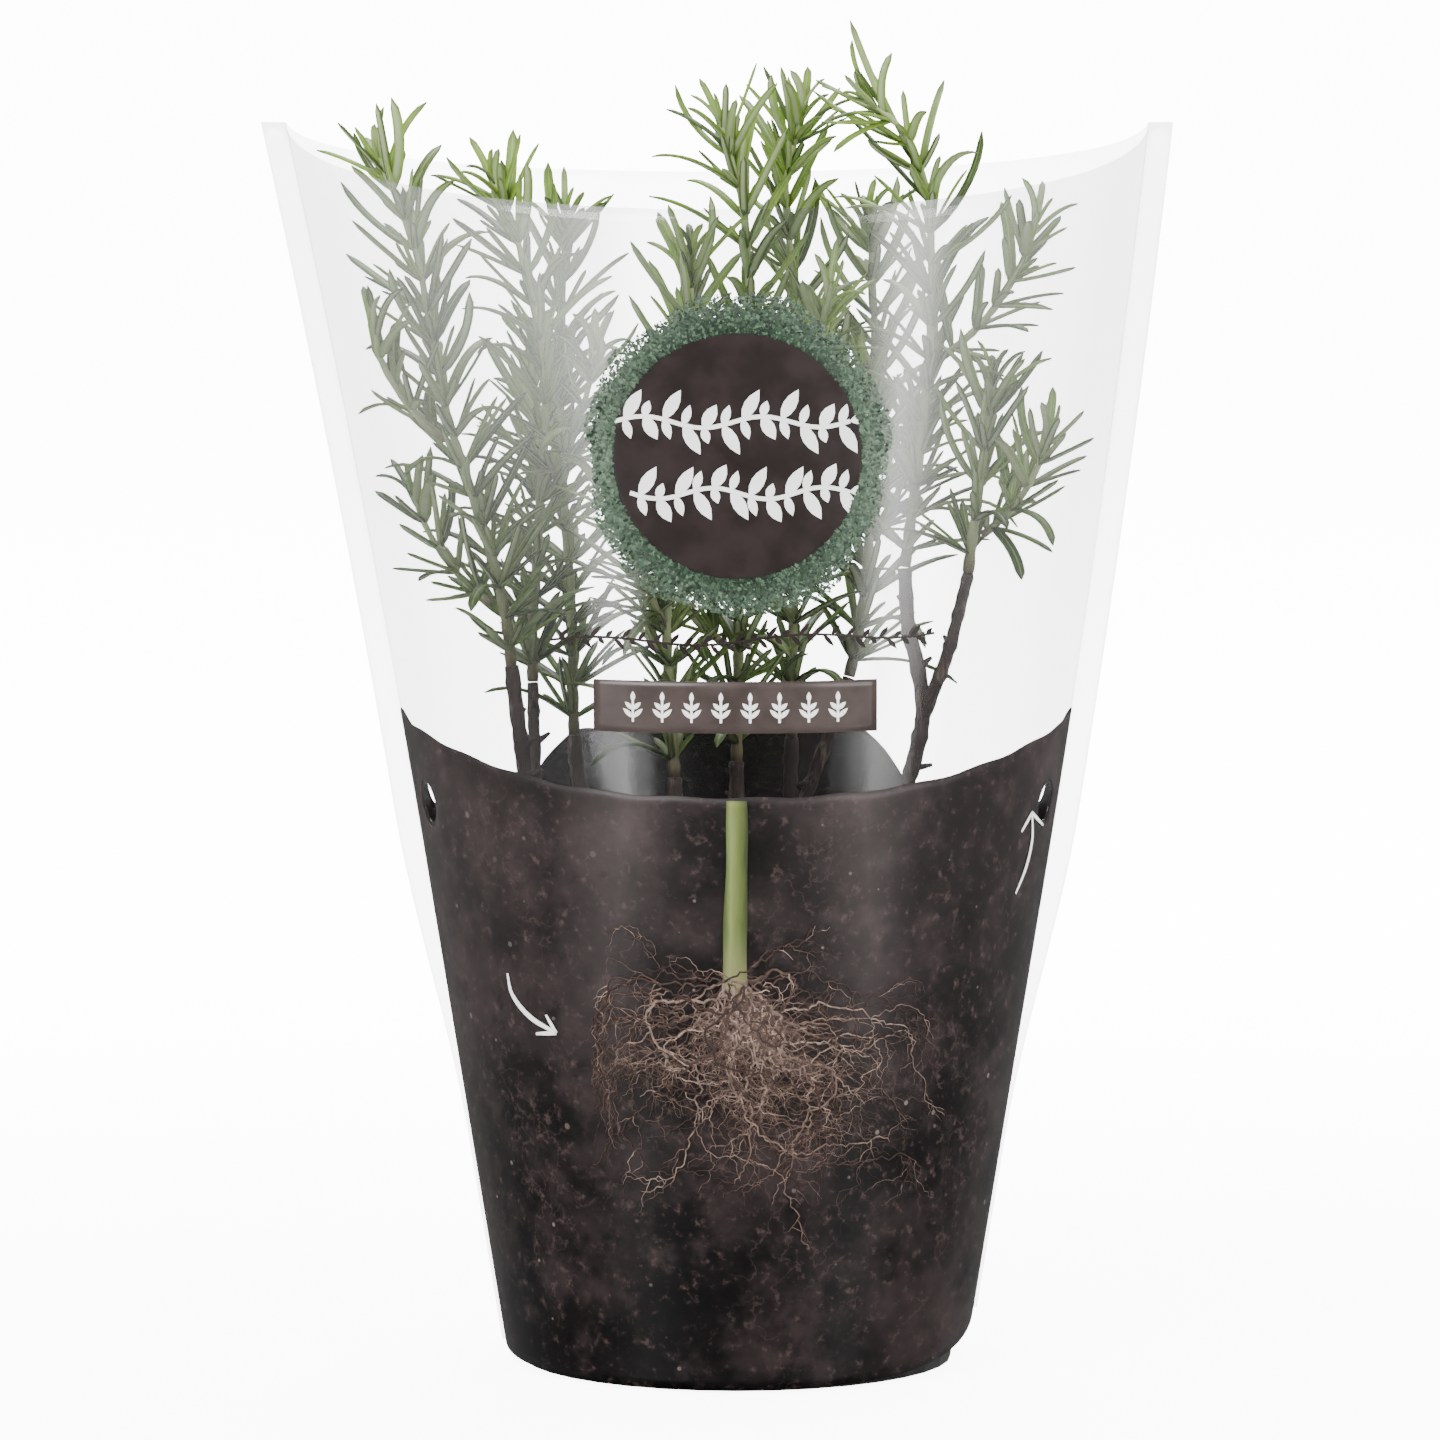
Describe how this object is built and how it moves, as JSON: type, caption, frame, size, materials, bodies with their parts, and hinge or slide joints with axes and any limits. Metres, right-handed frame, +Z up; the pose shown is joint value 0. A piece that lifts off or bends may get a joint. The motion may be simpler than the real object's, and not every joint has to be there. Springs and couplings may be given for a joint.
{
  "type": "potted rosemary",
  "caption": "Young rosemary plant rooted in a round nursery pot of peat, standing in a clear conical film sleeve that is open at the top.",
  "frame": {"origin": "on the ground under the middle of the pot", "axes": "+Z up, -Y towards the printed front of the sleeve, +X to the right when seen from the front"},
  "size_m": [0.1814, 0.145, 0.2673],
  "materials": {
    "black_plastic": "black moulded nursery pot plastic",
    "peat": "moist dark peat growing medium",
    "bark": "thin grey-brown bark",
    "needle_green": "living leaves, satin green above and grey-green below",
    "clear_film": "clear glossy plastic film, printed on its lower part"
  },
  "bodies": {
    "root": {"pot": "black_plastic", "peat": "peat", "woody_stem_1": "bark", "woody_stem_2": "bark", "woody_stem_3": "bark", "woody_stem_4": "bark", "woody_stem_5": "bark", "woody_stem_6": "bark", "leafy_shoot_1": "needle_green", "leafy_shoot_2": "needle_green", "leafy_shoot_3": "needle_green", "leafy_shoot_4": "needle_green", "leafy_shoot_5": "needle_green", "leafy_shoot_6": "needle_green", "leafy_shoot_7": "needle_green", "leafy_shoot_8": "needle_green", "leafy_shoot_9": "needle_green", "side_shoot_1": "needle_green", "side_shoot_2": "needle_green", "side_shoot_3": "needle_green", "side_shoot_4": "needle_green", "side_shoot_5": "needle_green", "side_shoot_6": "needle_green", "side_shoot_7": "needle_green", "side_shoot_8": "needle_green", "side_shoot_9": "needle_green", "side_shoot_10": "needle_green", "side_shoot_11": "needle_green", "side_shoot_12": "needle_green", "sleeve_front": "clear_film", "sleeve_back": "clear_film"}
  },
  "joints": []
}
